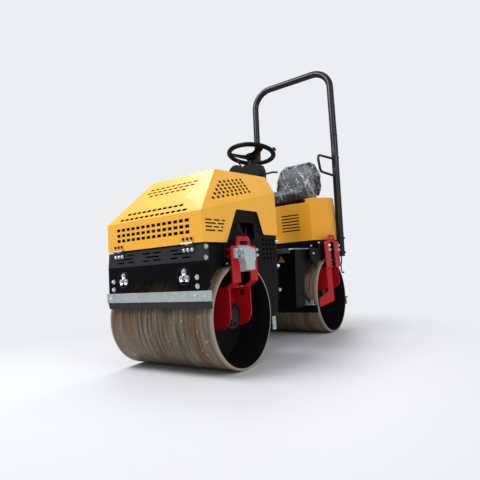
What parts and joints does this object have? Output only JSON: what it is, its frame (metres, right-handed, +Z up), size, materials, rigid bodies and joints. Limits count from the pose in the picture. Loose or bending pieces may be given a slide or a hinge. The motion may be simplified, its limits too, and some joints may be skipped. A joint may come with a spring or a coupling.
{
  "type": "ride-on tandem road roller",
  "caption": "Small ride-on road roller: steel drums on red brackets, tilting slotted hood over the engine, articulated frame, console with steering wheel, padded place and roll-over hoop.",
  "frame": {"origin": "on the ground, below the middle of the machine's length and width", "axes": "+X to the front (the hood), +Y to the left, +Z up"},
  "size_m": [1.925, 0.886, 2.2779],
  "materials": {
    "yellow_paint": "gloss",
    "black_paint": "satin",
    "red_paint": "gloss",
    "drum_steel": "worn",
    "galvanised_steel": "satin",
    "grey_cast_box": "matt",
    "engine_iron": "matt",
    "black_iron": "matt",
    "lamp_glass": "gloss",
    "console_plastic": "matt",
    "black_vinyl": "satin",
    "wheel_rubber": "satin",
    "chrome_rod": "polished"
  },
  "bodies": {
    "front_frame": {"bumper_hinge_leaves": "galvanised_steel", "front_bumper": "black_paint", "headlamps": "lamp_glass", "front_side_plates": "black_paint", "engine_deck": "black_paint", "engine_block": "engine_iron", "front_bulkhead": "black_paint", "hitch_yoke": "black_paint", "front_drum_support_left": "red_paint", "front_drum_support_right": "red_paint", "front_drum_hubs": "black_iron", "junction_boxes": "grey_cast_box", "front_scraper_bar": "galvanised_steel", "front_scraper_blade": "galvanised_steel", "front_drum_beam": "black_paint"},
    "hood": {"hood_front_panel": "yellow_paint", "hood_roof_panel": "yellow_paint", "hood_left_panel": "yellow_paint", "hood_right_panel": "yellow_paint", "hood_hinge_leaves": "galvanised_steel"},
    "front_drum": {"front_drum": "drum_steel"},
    "rear_frame": {"hitch_trunnion": "black_iron", "rear_box_sides": "black_paint", "rear_box": "black_paint", "rear_upper_plates": "black_paint", "platform": "black_paint", "rear_body_base": "black_paint", "rear_body_centre": "yellow_paint", "rear_body_wings": "yellow_paint", "tail_plate": "black_paint", "rollover_hoop": "black_paint", "hoop_clamps": "black_paint", "cushion_rails": "black_paint", "cushion_pad": "black_vinyl", "backrest_pad": "black_vinyl", "console": "console_plastic", "console_pedestal": "black_paint", "rear_drum_support_left": "red_paint", "rear_drum_support_right": "red_paint", "rear_drum_hubs": "black_iron", "rear_drum_beams": "black_paint"},
    "rear_drum": {"rear_drum": "drum_steel"},
    "steering_wheel": {"steering_wheel": "wheel_rubber"},
    "cylinder_barrel": {"cylinder_barrel": "black_paint"},
    "cylinder_rod": {"cylinder_rod": "chrome_rod"}
  },
  "joints": [
    {"name": "hood_lift", "type": "hinge", "parent": "front_frame", "child": "hood", "pos_m": [0.95485, 0, 0.671], "axis": [0, 1, 0], "range_deg": [0, 60]},
    {"name": "front_drum_spin", "type": "hinge", "parent": "front_frame", "child": "front_drum", "pos_m": [0.65685, 0, 0.28], "axis": [0, 1, 0], "continuous": true},
    {"name": "steer", "type": "hinge", "parent": "front_frame", "child": "rear_frame", "pos_m": [0.04885, 0, 0.388], "axis": [0, 0, 1], "range_deg": [-30, 30]},
    {"name": "rear_drum_spin", "type": "hinge", "parent": "rear_frame", "child": "rear_drum", "pos_m": [-0.55915, 0, 0.28], "axis": [0, 1, 0], "continuous": true},
    {"name": "steering_wheel_turn", "type": "hinge", "parent": "rear_frame", "child": "steering_wheel", "pos_m": [-0.13915, 0, 1.396], "axis": [-0.2079, 0, 0.9781], "continuous": true},
    {"name": "cylinder_swing", "type": "hinge", "parent": "front_frame", "child": "cylinder_barrel", "pos_m": [0.17685, -0.095, 0.3], "axis": [0, 0, 1], "range_deg": [-21, 21]},
    {"name": "cylinder_stroke", "type": "slide", "parent": "cylinder_barrel", "child": "cylinder_rod", "axis": [-0.9816, -0.1908, 0], "range_m": [-0.064, 0.064]}
  ],
  "couplings": [
    {"joint": "cylinder_swing", "follows": "steer", "ratio": 0.63628},
    {"joint": "cylinder_stroke", "follows": "steer", "m_per_rad": -0.11605}
  ]
}
